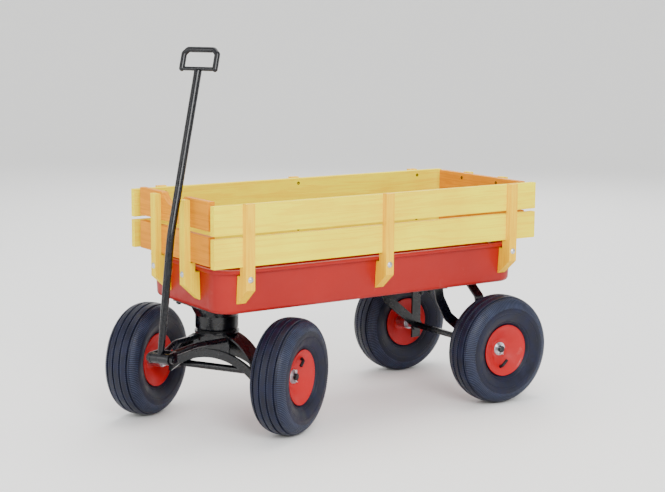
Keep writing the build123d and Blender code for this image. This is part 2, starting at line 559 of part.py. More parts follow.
def tyre():
    """Tyre with a ribbed tread, round sidewalls and beads that lean on the rim's flanges."""
    inside_half = TYRE_HALF_W - TYRE_SIDE_T
    bead_in, bead_foot = BEAD_R + 0.3, dish_y(BEAD_R + 0.3) - RIM_T - 0.8
    neck_r = FLANGE_R + 0.8
    neck_y = dish_y(neck_r) - RIM_T - 0.8
    edges = [Spline(*crown(TYRE_R, TYRE_HALF_W)), Spline(*crown(TYRE_R - TYRE_CROWN_T, inside_half))]
    for side in (1, -1):
        shoulder, inner_shoulder = (TYRE_SHOULDER_R, side * TYRE_HALF_W), (TYRE_SHOULDER_R, side * inside_half)
        neck, toe, heel = (neck_r, side * neck_y), (bead_in, side * bead_foot), (bead_in, side * (bead_foot - 6))
        edges.append(ThreePointArc(shoulder, (76, side * 38.4), neck))
        edges.append(Polyline(neck, toe, heel))
        edges.append(ThreePointArc(heel, (70, side * 30.6), inner_shoulder))
    body = spin(make_face(edges))
    for y, depth in ((-25.0, 5.0), (-8.5, 3.0), (8.5, 3.0), (25.0, 5.0)):
        ring = Cylinder(TYRE_R + 2, GROOVE_W) - Cylinder(TYRE_R - depth, GROOVE_W)
        body -= Pos(0, y, 0) * Rot(90, 0, 0) * ring
    return body


def valve_path():
    """Route of the bent valve: out of the tube, through the dish, then back towards the hub."""
    route = [(57.0, 6.0, -80), (41.0, 20.0, -82), (37.0, 26.0, -84), (26.0, 27.5, -108)]
    points = [(r * cos(radians(a)), y, r * sin(radians(a))) for r, y, a in route]
    return FilletPolyline(*points, radius=3.5)


def inner_tube():
    """Air tube with its rubber valve."""
    section = Circle(TUBE_R) - Circle(TUBE_R - TUBE_T)
    return spin(Pos(TUBE_MIDDLE_R, 0) * section) + round_sweep(valve_path(), VALVE_R)


def dish_y(radius):
    """Distance of the dish's outer face from the middle plane, at a radius."""
    return DISH_IN + DISH_SLOPE * (radius - DISH_R)


def rim_dish(side):
    """Pressed disc: flat collar round the hub, shallow cone, and a rolled flange edge."""
    t = RIM_T
    face = [(HUB_R + 0.1, DISH_IN - 1.5), (DISH_R - 3.5, DISH_IN - 1.5), (DISH_R, DISH_IN),
            (FLANGE_R - 4, dish_y(FLANGE_R - 4)), (FLANGE_R - 1.2, FLANGE_OUT), (FLANGE_R, FLANGE_OUT - 0.6),
            (FLANGE_R, dish_y(FLANGE_R) - t - 0.2), (DISH_R, DISH_IN - t), (DISH_R - 3.5, DISH_IN - 1.5 - t),
            (HUB_R + 0.1, DISH_IN - 1.5 - t)]
    return spin(make_face(Polyline(*[(r, side * y) for r, y in face], close=True)))


def rim_inner():
    """Inner disc with the barrel that both beads sit on."""
    reach = dish_y(BEAD_R - RIM_T) - RIM_T - 0.2
    barrel = rod(BEAD_R, (0, -reach - 2.0, 0), (0, reach, 0))
    barrel -= rod(BEAD_R - RIM_T, (0, -60, 0), (0, 60, 0))
    return rim_dish(-1) + barrel


def bearing(y_low):
    """Ball bearing drawn as one ring, with a shallow groove where each shield sits."""
    ring = rod(BEARING_R, (0, y_low, 0), (0, y_low + BEARING_W, 0))
    ring -= rod(AXLE_R + RUNNING_GAP, (0, y_low - 1, 0), (0, y_low + BEARING_W + 1, 0))
    for y in (y_low - 0.2, y_low + BEARING_W - 0.6):
        ring -= rod(12.0, (0, y, 0), (0, y + 0.8, 0)) - rod(10.0, (0, y, 0), (0, y + 0.8, 0))
    return ring


def make_wheels():
    """The four wheels, each as tyre, tube, rim halves, hub and bearings, about the Y axis."""
    stem_hole = round_sweep(valve_path(), VALVE_R + 0.3)
    hub = rod(HUB_R, (0, -HUB_IN, 0), (0, HUB_OUT, 0))
    hub -= rod(BEARING_R + FIXED_GAP, (0, -HUB_IN - 1, 0), (0, HUB_OUT + 1, 0))
    pieces = {
        "tyre": tyre(), "inner_tube": inner_tube(), "rim_outer": rim_dish(1) - stem_hole,
        "rim_inner": rim_inner() - stem_hole, "hub": chamfer(hub.edges().filter_by(GeomType.CIRCLE), 0.5),
        "bearings": several([bearing(HUB_OUT + BEARING_PROUD - BEARING_W), bearing(-HUB_IN - BEARING_PROUD)]),
    }
    corners = {
        "front_left": (1, FRONT_HALF_TRACK), "front_right": (-1, FRONT_HALF_TRACK),
        "rear_left": (1, REAR_HALF_TRACK), "rear_right": (-1, REAR_HALF_TRACK),
    }
    for corner, (side, half_track) in corners.items():
        place = Pos(0, side * half_track, WHEEL_Z) * Rot(0, 0, 0 if side > 0 else 180)
        for name, piece in pieces.items():
            placed = place * Rot(0, VALVE_TURN[corner], 0) * piece
            front = corner.startswith("front")
            NODES[f"{corner}_{name}"] = steered(placed) if front else Pos(REAR_X, 0, 0) * placed


# ---------------------------------------------------------------- build
def build():
    tray = make_sides(make_tray())
    tray, turret_bolts = make_turret(tray)
    tray, rear_bolts = make_rear(tray)
    NODES["tray_floor"], NODES["tray_walls"] = part_floor(tray)
    NODES["tray_floor_bolts"] = several(turret_bolts + rear_bolts)
    make_front_axle()
    make_tongue()
    make_handle()
    make_wheels()

    os.makedirs("parts", exist_ok=True)
    for name, shape in NODES.items():
        export_step(shape, f"parts/{name}.step")
    print(len(NODES), "nodes")


build()
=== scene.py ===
"""Looks of a garden cart: a pressed steel tray with wooden stake sides, on four air-filled wheels.

Lengths are in metres in the cart's own frame: +X is the pulling end, +Y its left side, +Z up.
"""

import json
import logging
import math
from dataclasses import dataclass
from enum import Enum
from typing import Callable, Sequence

import bmesh
import bpy
from mathutils import Matrix, Vector


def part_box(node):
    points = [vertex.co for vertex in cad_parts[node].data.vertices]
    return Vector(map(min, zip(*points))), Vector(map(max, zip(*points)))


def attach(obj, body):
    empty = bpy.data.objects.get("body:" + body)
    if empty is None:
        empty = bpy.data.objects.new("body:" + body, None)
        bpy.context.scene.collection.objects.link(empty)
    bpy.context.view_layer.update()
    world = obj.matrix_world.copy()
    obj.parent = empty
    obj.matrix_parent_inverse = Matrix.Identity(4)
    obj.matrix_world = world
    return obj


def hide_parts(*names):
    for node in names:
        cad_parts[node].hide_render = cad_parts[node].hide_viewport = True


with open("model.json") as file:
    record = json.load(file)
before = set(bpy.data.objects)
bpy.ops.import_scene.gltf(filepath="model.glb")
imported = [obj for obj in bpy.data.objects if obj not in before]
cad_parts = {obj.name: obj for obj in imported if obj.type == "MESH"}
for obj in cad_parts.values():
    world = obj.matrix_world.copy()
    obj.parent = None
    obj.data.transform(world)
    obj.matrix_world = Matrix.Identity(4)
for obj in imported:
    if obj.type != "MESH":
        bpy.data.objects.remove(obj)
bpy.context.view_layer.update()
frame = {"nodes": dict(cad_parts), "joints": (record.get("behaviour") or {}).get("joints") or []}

LOG = logging.getLogger("garden_cart")
MM = 0.001
WHITE = "#FFFFFF"
SHARP_EDGE = math.radians(32)
Outline = list[tuple[float, float]]
Shape = Callable[[int, int, float], tuple[float, float]]
FinishPicker = Callable[[int, int], int]


class Grain(Enum):
    """Direction that a board's grain runs in."""

    ALONG = (1.0, 0.0, 0.0)
    ACROSS = (0.0, 1.0, 0.0)
    UPRIGHT = (0.0, 0.0, 1.0)


class Side(Enum):
    """Side of the cart that a wheel stands on, as the sign of its outward direction."""

    LEFT = 1.0
    RIGHT = -1.0


# ------------------------------------------------------------------ shared helpers
def linear(code: str) -> tuple[float, float, float, float]:
    """Turns an sRGB hex colour into linear values.

    Args:
        code: the colour, such as "#A03020".

    Returns:
        Red, green, blue and an alpha of 1.
    """
    parts = [int(code[i : i + 2], 16) / 255 for i in (1, 3, 5)]
    red, green, blue = (p / 12.92 if p <= 0.04045 else ((p + 0.055) / 1.055) ** 2.4 for p in parts)
    return red, green, blue, 1.0


def per_metre(size_mm: float) -> float:
    """Gives the texture scale at which one feature of a noise pattern is this many millimetres."""
    return 1000.0 / size_mm


def add(
    tree: bpy.types.NodeTree,
    kind: str,
    settings: dict | None = None,
    links: dict | None = None,
) -> bpy.types.Node:
    """Adds one shader node with its settings and links.

    Args:
        tree: the material's node tree.
        kind: the node's type without its common prefix, such as "TexNoise".
        settings: values by the name of a node property or of an input.
        links: output sockets by the name or number of the input that they feed.

    Returns:
        The new node.
    """
    made = tree.nodes.new("ShaderNode" + kind)
    for name, value in (settings or {}).items():
        if isinstance(name, str) and hasattr(made, name):
            setattr(made, name, value)
        else:
            made.inputs[name].default_value = value
    for name, source in (links or {}).items():
        tree.links.new(source, made.inputs[name])
    return made


def ramp(
    tree: bpy.types.NodeTree,
    source: bpy.types.NodeSocket,
    stops: Sequence[tuple[float, float]],
) -> bpy.types.NodeSocket:
    """Maps a value through a ramp of greys.

    Args:
        tree: the material's node tree.
        source: the value that is mapped.
        stops: positions, each with a grey level.

    Returns:
        The ramp's output.
    """
    node = add(tree, "ValToRGB", links={"Fac": source})
    elements = node.color_ramp.elements
    while len(elements) < len(stops):
        elements.new(0.5)
    for element, (position, level) in zip(elements, stops):
        element.position = position
        element.color = (level, level, level, 1.0)
    return node.outputs["Color"]


def noise(
    tree: bpy.types.NodeTree,
    where: bpy.types.NodeSocket,
    size_mm: float,
    detail: float,
    settings: dict | None = None,
) -> bpy.types.NodeSocket:
    """Makes an even noise pattern.

    Args:
        tree: the material's node tree.
        where: coordinates in metres.
        size_mm: size of one feature in millimetres.
        detail: octaves of finer noise.
        settings: any other values of the pattern.

    Returns:
        The pattern, from 0 to 1.
    """
    values = {"Scale": per_metre(size_mm), "Detail": detail, **(settings or {})}
    return add(tree, "TexNoise", values, {"Vector": where}).outputs["Fac"]


def blended(
    tree: bpy.types.NodeTree,
    amount: bpy.types.NodeSocket | float,
    first: bpy.types.NodeSocket | str,
    second: bpy.types.NodeSocket | str,
    way: str = "MIX",
) -> bpy.types.NodeSocket:
    """Mixes two colours.

    Args:
        tree: the material's node tree.
        amount: how much of the second colour is used.
        first: a colour socket or an sRGB hex colour.
        second: a colour socket or an sRGB hex colour.
        way: the blend mode.

    Returns:
        The mixed colour.
    """
    node = add(tree, "Mix", {"data_type": "RGBA", "blend_type": way})
    for slot, value in ((0, amount), (6, first), (7, second)):
        if isinstance(value, bpy.types.NodeSocket):
            tree.links.new(value, node.inputs[slot])
        else:
            node.inputs[slot].default_value = linear(value) if isinstance(value, str) else value
    return node.outputs[2]


def lathe(
    name: str,
    profile: Outline,
    segments: int,
    shape: Shape | None = None,
    finish_at: FinishPicker | None = None,
) -> bpy.types.Mesh:
    """Turns a closed outline about the Y axis.

    Args:
        name: the mesh's name.
        profile: radius and offset of each corner of the outline, in millimetres.
        segments: number of steps round the axis.
        shape: optional rule that moves a corner, from its number and its step round the axis.
        finish_at: optional rule that picks a face's material slot from the same two numbers.

    Returns:
        The mesh, in metres, smooth shaded with its sharp edges kept.
    """
    points, faces = [], []
    count = len(profile)
    for step in range(segments):
        turn = 2 * math.pi * step / segments
        for corner, (radius, offset) in enumerate(profile):
            at, drop = (turn, 0.0) if shape is None else shape(corner, step, turn)
            reach = (radius - drop) * MM
            points.append((reach * math.cos(at), offset * MM, reach * math.sin(at)))
    for step in range(segments):
        here, there = step * count, (step + 1) % segments * count
        for corner in range(count):
            after = (corner + 1) % count
            faces.append((here + corner, here + after, there + after, there + corner))
    mesh = bpy.data.meshes.new(name)
    mesh.from_pydata(points, [], faces)
    if finish_at is not None:
        for number, face in enumerate(mesh.polygons):
            step, corner = divmod(number, count)
            face.material_index = finish_at(corner, step)
    shell = bmesh.new()
    shell.from_mesh(mesh)
    bmesh.ops.recalc_face_normals(shell, faces=shell.faces)
    shell.to_mesh(mesh)
    shell.free()
    mesh.shade_smooth()
    mesh.set_sharp_from_angle(angle=SHARP_EDGE)
    return mesh


def placed(mesh: bpy.types.Mesh, name: str, place: Matrix, body: str) -> bpy.types.Object:
    """Puts a copy of a mesh in the scene as a piece of the cart, with its place in its corners.

    Args:
        mesh: the mesh that the piece is a copy of.
        name: the piece's name.
        place: where it stands in the cart's frame.
        body: the moving body that carries it.

    Returns:
        The new piece.
    """
    own = mesh.copy()
    own.transform(place)
    piece = bpy.data.objects.new(name, own)
    bpy.context.scene.collection.objects.link(piece)
    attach(piece, body)
    return piece


def dress(nodes: Sequence[str], material: bpy.types.Material) -> None:
    """Gives the named nodes one finish.

    Args:
        nodes: names of the nodes.
        material: the finish.
    """
    for name in nodes:
        mesh = frame["nodes"][name].data
        mesh.materials.clear()
        mesh.materials.append(material)
        LOG.info("dressed %s in %s", name, material.name)


# ------------------------------------------------------------------ finishes
@dataclass(frozen=True)
class Finish:
    """A named finish with the values that every shader here needs."""

    name: str
    colour: str
    roughness: float
    specular: float = 0.3

    def start(self) -> tuple[bpy.types.NodeTree, bpy.types.Node, bpy.types.NodeSocket]:
        """Makes the empty material.

        Returns:
            Its node tree, its surface shader and the piece's own coordinates in metres.
        """
        material = bpy.data.materials.new(self.name)
        material.use_nodes = True
        material.diffuse_color = linear(self.colour)
        tree = material.node_tree
        shader = tree.nodes["Principled BSDF"]
        shader.inputs["Base Color"].default_value = linear(self.colour)
        shader.inputs["Roughness"].default_value = self.roughness
        shader.inputs["Specular IOR Level"].default_value = self.specular
        return tree, shader, add(tree, "TexCoord").outputs["Object"]

    def bump(
        self,
        tree: bpy.types.NodeTree,
        shader: bpy.types.Node,
        height: bpy.types.NodeSocket,
        depth_mm: float,
    ) -> None:
        """Raises the surface by a pattern.

        Args:
            tree: the material's node tree.
            shader: its surface shader.
            height: the pattern, from 0 to 1.
            depth_mm: height of the pattern in millimetres.
        """
        node = add(tree, "Bump", {"Strength": 1.0, "Distance": depth_mm * MM}, {"Height": height})
        tree.links.new(node.outputs["Normal"], shader.inputs["Normal"])


@dataclass(frozen=True)
class StainedPine(Finish):
    """Planed pine under a yellow stain and clear varnish.

    The stain soaks further into the soft early wood, so the grain shows as warmer lines in a
    clear yellow, and the varnish gives a broad soft gloss.
    """

    deep: str = "#C98A18"
    grain: Grain = Grain.ALONG
    ring_mm: float = 5.0
    rings_across: float = 3.2
    ring_turn: float = 26.0
    streak_mm: float = 420.0
    pore_mm: tuple[float, float] = (0.9, 60.0)
    blotch_mm: float = 110.0
    contrast: float = 0.22
    relief_mm: float = 0.12

    def stretched(
        self,
        tree: bpy.types.NodeTree,
        source: bpy.types.NodeSocket,
        across_mm: float,
        along_mm: float,
    ) -> bpy.types.NodeSocket:
        """Scales coordinates so that a pattern is long with the grain and narrow across it.

        Args:
            tree: the material's node tree.
            source: coordinates in metres.
            across_mm: size of a feature across the grain.
            along_mm: size of a feature along it.

        Returns:
            The scaled coordinates.
        """
        scale = [per_metre(along_mm if way else across_mm) for way in self.grain.value]
        return add(tree, "Mapping", {"Scale": scale}, {"Vector": source}).outputs["Vector"]

    def material(self) -> bpy.types.Material:
        """Builds the material.

        Returns:
            The finished material.
        """
        tree, shader, where = self.start()
        rings = add(
            tree,
            "TexNoise",
            {"Scale": 1.0, "Detail": 3.0, "Roughness": 0.55, "Distortion": 0.6},
            {"Vector": self.stretched(tree, where, self.ring_mm * self.rings_across, self.streak_mm)},
        ).outputs["Fac"]
        bands = add(tree, "Math", {"operation": "MULTIPLY", 1: self.ring_turn}, {0: rings}).outputs[0]
        wave = add(tree, "Math", {"operation": "SINE"}, {0: bands}).outputs[0]
        level = add(tree, "MapRange", {"From Min": -1.0}, {"Value": wave}).outputs[0]
        lines = ramp(tree, level, [(0.45, 0.0), (0.95, 1.0)])
        # Pores are about 0.1 mm wide in real pine: drawn 0.9 mm wide, so that they show.
        pores = add(
            tree,
            "TexNoise",
            {"Scale": 1.0, "Detail": 2.0, "Roughness": 0.7},
            {"Vector": self.stretched(tree, where, *self.pore_mm)},
        ).outputs["Fac"]
        blotch = noise(tree, where, self.blotch_mm, 3.0)
        colour = blended(tree, ramp(tree, blotch, [(0.4, 0.0), (0.8, 0.3)]), self.colour, self.deep)
        colour = blended(tree, ramp(tree, pores, [(0.52, 0.0), (0.8, 0.3)]), colour, self.deep)
        strength = add(tree, "Math", {"operation": "MULTIPLY", 1: self.contrast}, {0: lines}).outputs[0]
        colour = blended(tree, strength, colour, self.deep)
        tree.links.new(colour, shader.inputs["Base Color"])
        span = {"To Min": self.roughness - 0.07, "To Max": self.roughness + 0.12}
        gloss = add(tree, "MapRange", span, {"Value": pores})
        tree.links.new(gloss.outputs[0], shader.inputs["Roughness"])
        relief = add(tree, "Math", {"operation": "ADD"}, {0: pores, 1: lines}).outputs[0]
        self.bump(tree, shader, relief, self.relief_mm)
        return bpy.data.materials[self.name]


@dataclass(frozen=True)
class Enamel(Finish):
    """Stoved enamel sprayed on pressed sheet steel.

    It is smooth with a faint orange peel, shines softly, and is dulled by dust and fine scuffs.
    """

    dust: str = "#B9A79A"
    coat: float = 0.1
    peel_mm: float = 2.6
    scuff_mm: float = 55.0
    tone_mm: float = 180.0
    peel_depth_mm: float = 0.05
    coat_roughness: float = 0.12

    def material(self) -> bpy.types.Material:
        """Builds the material.

        Returns:
            The finished material.
        """
        tree, shader, where = self.start()
        peel = noise(tree, where, self.peel_mm, 2.0)
        scuff = noise(tree, where, self.scuff_mm, 8.0, {"Roughness": 0.68})
        tone = noise(tree, where, self.tone_mm, 2.0)
        shade = ramp(tree, tone, [(0.3, 0.86), (0.7, 1.0)])
        colour = blended(tree, 1.0, self.colour, shade, "MULTIPLY")
        colour = blended(tree, ramp(tree, scuff, [(0.6, 0.0), (0.85, 0.35)]), colour, self.dust)
        tree.links.new(colour, shader.inputs["Base Color"])
        span = {"From Min": 0.4, "From Max": 0.8, "To Min": self.roughness, "To Max": self.roughness + 0.22}
        dull = add(tree, "MapRange", span, {"Value": scuff})
        tree.links.new(dull.outputs[0], shader.inputs["Roughness"])
        shader.inputs["Coat Weight"].default_value = self.coat
        shader.inputs["Coat Roughness"].default_value = self.coat_roughness
        self.bump(tree, shader, peel, self.peel_depth_mm)
        return bpy.data.materials[self.name]


@dataclass(frozen=True)
class MouldedRubber(Finish):
    """Carbon-black rubber from a mould.

    It has a low sheen, greyer where dust and scuffs have settled on it, and a fine mould grain.
    """

    dust: str = "#5C6072"
    grit_mm: float = 1.1
    wear_mm: float = 26.0
    grit_depth_mm: float = 0.06

    def material(self) -> bpy.types.Material:
        """Builds the material.

        Returns:
            The finished material.
        """
        tree, shader, where = self.start()
        # The mould's grain is about 0.2 mm: drawn 1.1 mm wide, so that it shows.
        grit = noise(tree, where, self.grit_mm, 3.0)
        wear = noise(tree, where, self.wear_mm, 7.0, {"Roughness": 0.62})
        film = ramp(tree, wear, [(0.42, 0.0), (0.75, 0.5)])
        colour = blended(tree, film, self.colour, self.dust)
        tree.links.new(colour, shader.inputs["Base Color"])
        ends = {"To Min": self.roughness - 0.08, "To Max": self.roughness + 0.2}
        gloss = add(tree, "MapRange", {"From Min": 0.35, "From Max": 0.75, **ends}, {"Value": wear})
        tree.links.new(gloss.outputs[0], shader.inputs["Roughness"])
        self.bump(tree, shader, grit, self.grit_depth_mm)
        return bpy.data.materials[self.name]


@dataclass(frozen=True)
class PlatedSteel(Finish):
    """Steel with bright zinc plating.

    It mirrors softly, with cloudy patches and fine scratches left by tumbling.
    """

    cloud: str = "#9A9CA6"
    cloud_mm: float = 7.0
    scratch_mm: float = 0.5
    scratch_depth_mm: float = 0.01

    def material(self) -> bpy.types.Material:
        """Builds the material.

        Returns:
            The finished material.
        """
        tree, shader, where = self.start()
        shader.inputs["Metallic"].default_value = 1.0
        clouds = noise(tree, where, self.cloud_mm, 4.0)
        # Tumbling scratches are far under 0.1 mm: drawn 0.5 mm wide, so that they show.
        scratch = noise(tree, where, self.scratch_mm, 2.0)
        colour = blended(tree, ramp(tree, clouds, [(0.35, 0.0), (0.7, 0.8)]), self.colour, self.cloud)
        tree.links.new(colour, shader.inputs["Base Color"])
        span = {"To Min": self.roughness - 0.08, "To Max": self.roughness + 0.14}
        gloss = add(tree, "MapRange", span, {"Value": clouds})
        tree.links.new(gloss.outputs[0], shader.inputs["Roughness"])
        self.bump(tree, shader, scratch, self.scratch_depth_mm)
        return bpy.data.materials[self.name]


@dataclass(frozen=True)
class MouldedNylon(Finish):
    """Black nylon, injection moulded, with a dull sheen and a faint flow mottle."""

    mottle: str = "#1E1E20"
    flow_mm: float = 9.0
    flow_depth_mm: float = 0.03

    def material(self) -> bpy.types.Material:
        """Builds the material.

        Returns:
            The finished material.
        """
        tree, shader, where = self.start()
        flow = noise(tree, where, self.flow_mm, 3.0)
        colour = blended(tree, ramp(tree, flow, [(0.4, 0.0), (0.7, 0.4)]), self.colour, self.mottle)
        tree.links.new(colour, shader.inputs["Base Color"])
        self.bump(tree, shader, flow, self.flow_depth_mm)
        return bpy.data.materials[self.name]


# ------------------------------------------------------------------ wheels
@dataclass
class Wheel:
    """An air-filled wheel: ribbed tyre, two pressed discs, hub tube, bearings and a bent valve."""

    corner: str
    side: Side
    tyre_r: float = 130.0
    half_width: float = 42.5
    shoulder_r: float = 95.0
    crown_power: float = 0.77
    teeth: int = 168
    tooth_depth: float = 2.0
    notch_depth: float = 2.2
    rib_step: float = 2.0
    bead_r: float = 51.1
    flange_r: float = 62.3

    def place(self) -> Matrix:
        """Finds the wheel's frame.

        Returns:
            The frame, with +Y pointing outwards along the axle.
        """
        joint = next(j for j in frame["joints"] if j["name"] == f"{self.corner}_spin")
        outward = Vector(joint["axis"]).normalized() * self.side.value
        up = Vector((0, 0, 1))
        turn = Matrix((outward.cross(up), outward, up)).transposed().to_4x4()
        return Matrix.Translation(joint["pos_m"]) @ turn

    def crown(self, offset: float) -> float:
        """Gives the radius of the tread at a distance from the middle plane."""
        lean = min(1.0, abs(offset) / self.half_width) ** (1 / self.crown_power)
        rise = (1 - lean * lean) ** (self.crown_power / 2)
        return self.shoulder_r + (self.tyre_r - self.shoulder_r) * rise

    def shoulder(self, degrees: float) -> tuple[float, float]:
        """Gives a point of the shoulder.

        Args:
            degrees: 90 at the crown and 0 at the sidewall.

        Returns:
            Radius and offset of the point.
        """
        c, s = math.cos(math.radians(degrees)), math.sin(math.radians(degrees))
        rise = (self.tyre_r - self.shoulder_r) * s**self.crown_power
        return self.shoulder_r + rise, self.half_width * c**self.crown_power

    def sidewall(self, radius: float, sunk: float = 0.0) -> tuple[float, float]:
        """Gives a point of the outer sidewall.

        Args:
            radius: the point's radius.
            sunk: its depth below the surface.

        Returns:
            Radius and offset of the point.
        """
        span = (self.shoulder_r - radius) / (self.shoulder_r - self.flange_r)
        return radius, self.half_width - 6.1 * span - 7.9 * span**2.6 - sunk

    def half_profile(self) -> list[tuple[float, float, str]]:
        """Gives one half of the tyre's outer outline, from the middle of the tread to the bead.

        Returns:
            Radius, offset and kind of each corner: plain, notch (a cut in a rib's edge) or tooth.
        """
        ribs = [
            (0.0, 0.0, "plain"), (4.9, 0.0, "plain"), (6.7, 0.0, "notch"), (7.2, 3.2, "plain"),
            (9.8, 3.2, "plain"), (10.3, 0.0, "notch"), (12.1, 0.0, "plain"), (16.6, 0.0, "plain"),
            (21.2, 0.0, "plain"), (23.0, 0.0, "notch"), (23.5, 4.4, "plain"), (26.4, 4.4, "plain"),
            (26.9, 0.0, "notch"), (28.6, 0.0, "plain"),
        ]  # fmt: skip
        points = [(self.crown(offset) - drop, offset, kind) for offset, drop, kind in ribs]
        points += [(*self.shoulder(51), "plain")]
        points += [(*self.shoulder(degrees), "tooth") for degrees in (50, 43, 36, 29, 22, 15, 9)]
        points += [(*self.shoulder(degrees), "plain") for degrees in (8, 3)]
        wall = [(95, 0), (92, 0), (91.6, 0.5), (90.4, 0.5), (90, 0), (86, 0), (81, 0), (76, 0), (72.5, 0)]
        wall += [(72, 0.7), (70.5, 0.7), (70, 0), (67, 0), (66.5, 0.8), (64.4, 0.9), (62.6, 1.4)]
        points += [(*self.sidewall(radius, sunk), "plain") for radius, sunk in wall]
        return points + [(61.9, 25.0, "plain"), (52.0, 21.6, "plain"), (self.bead_r, 20.6, "plain")]

    def build_tyre(self) -> bpy.types.Mesh:
        """Builds the tyre with cut ribs and fine radial teeth on both shoulders.

        Returns:
            The mesh, which all four wheels share.
        """
        known = bpy.data.meshes.get("tyre_casing")
        if known:
            return known
        half = self.half_profile()
        outer = [(r, -y, kind) for r, y, kind in reversed(half[1:])] + half
        lining = [(54.0, 14.6), (70.0, 30.6), (84.0, 36.6), (95.0, 37.5), (108.0, 35.0)]
        lining += [(117.0, 26.0), (121.0, 0.0)]
        inner = lining + [(r, -y) for r, y in reversed(lining[:-1])]
        profile = [(r, y) for r, y, _ in outer] + [(self.bead_r, 15.2)] + inner + [(self.bead_r, -15.2)]
        kinds = [kind for *_, kind in outer] + ["plain"] * (len(inner) + 2)
        after = kinds[1:] + kinds[:1]
        following = outer[1:] + outer[:1]
        steep = [abs(a[0] - b[0]) > self.rib_step for a, b in zip(outer, following)]
        pitch = 2 * math.pi / self.teeth

        def shape(corner: int, step: int, turn: float) -> tuple[float, float]:
            """Squares off the teeth and cuts the notches, four steps to a tooth.

            Args:
                corner: number of the outline's corner.
                step: number of the step round the axis.
                turn: the step's angle.

            Returns:
                The corner's own angle, and how far it drops towards the axis.
            """
            kind = kinds[corner]
            tooth, part = divmod(step, 4)
            if kind == "plain":
                return turn, 0.0
            at = (tooth + (0.0, 0.52, 0.6, 0.92)[part]) * pitch
            sunk = part in (2, 3)
            return at, (self.tooth_depth if kind == "tooth" else self.notch_depth) if sunk else 0.0

        def finish_at(corner: int, step: int) -> int:
            """Picks the lighter finish, a painted highlight, for the tops of the teeth and the corners of
            the ribs.

            Args:
                corner: number of the outline's corner that the face starts at.
                step: number of the step round the axis.

            Returns:
                1 for the painted highlight finish and 0 for the plain one.
            """
            # The raised tooth tops and rib corners take a lighter rubber as painted highlight.
            pair = (kinds[corner], after[corner])
            raised = pair == ("tooth", "tooth") or ("notch" in pair and not steep[corner])
            return int(step % 4 == 0 and raised)

        return lathe("tyre_casing", profile, self.teeth * 4, shape, finish_at)

    def build_disc(self) -> bpy.types.Mesh:
        """Builds a pressed disc: flat collar at the hub, smooth bowl and rolled edge.

        Returns:
            The mesh, which all eight discs share.
        """
        known = bpy.data.meshes.get("pressed_disc")
        if known:
            return known
        face = [(16.1, 7.0), (20.0, 7.0), (22.4, 7.5), (25.0, 8.6), (30.0, 11.9), (36.0, 15.8)]
        face += [(42.0, 19.5), (48.0, 23.0), (53.0, 25.7), (56.6, 27.4), (58.6, 28.9), (59.6, 30.1)]
        face += [(60.5, 30.5), (61.2, 30.2), (61.5, 29.5), (61.4, 28.7)]
        back = [(60.4, 28.2), (57.2, 25.6), (53.4, 23.9), (48.8, 21.3), (36.8, 14.1), (25.6, 6.8)]
        back += [(22.6, 5.5), (16.1, 5.0)]
        return lathe("pressed_disc", face + back, 160)

    def build_barrel(self) -> bpy.types.Mesh:
        """Builds the short barrel that the tyre's beads sit on, between the two discs.

        Returns:
            The mesh, which all four wheels share.
        """
        known = bpy.data.meshes.get("bead_barrel")
        if known:
            return known
        return lathe("bead_barrel", [(50.8, -20.0), (50.8, 20.0), (48.9, 20.0), (48.9, -20.0)], 96)

    def build(
        self,
        rubber: bpy.types.Material,
        highlight_rubber: bpy.types.Material,
        enamel: bpy.types.Material,
    ) -> None:
        """Puts the tyre and both discs in place.

        Args:
            rubber: finish of the tyre.
            highlight_rubber: finish of the tops of its shoulder teeth, lighter as a painted highlight.
            enamel: finish of the discs.
        """
        body, place = f"{self.corner}_wheel", self.place()
        flip = Matrix.Rotation(math.pi, 4, "Z")
        tyre = placed(self.build_tyre(), f"{self.corner}_casing", place, body)
        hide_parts(f"{self.corner}_tyre")
        disc = self.build_disc()
        outer = placed(disc, f"{self.corner}_outer_disc", place, body)
        inner = placed(disc, f"{self.corner}_inner_disc", place @ flip, body)
        barrel = placed(self.build_barrel(), f"{self.corner}_bead_barrel", place, body)
        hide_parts(f"{self.corner}_rim_outer")
        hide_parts(f"{self.corner}_rim_inner")
        for finish in (rubber, highlight_rubber):
            tyre.data.materials.append(finish)
        for piece in (outer, inner, barrel):
            piece.data.materials.append(enamel)
        LOG.info("built wheel %s", self.corner)

    def dress(self, steel: bpy.types.Material, butyl: bpy.types.Material) -> None:
        """Finishes the hub, bearings and valve.

        Args:
            steel: finish of the hub tube and bearings.
            butyl: finish of the inner tube and its valve.
        """
        dress([f"{self.corner}_hub", f"{self.corner}_bearings"], steel)
        dress([f"{self.corner}_inner_tube"], butyl)


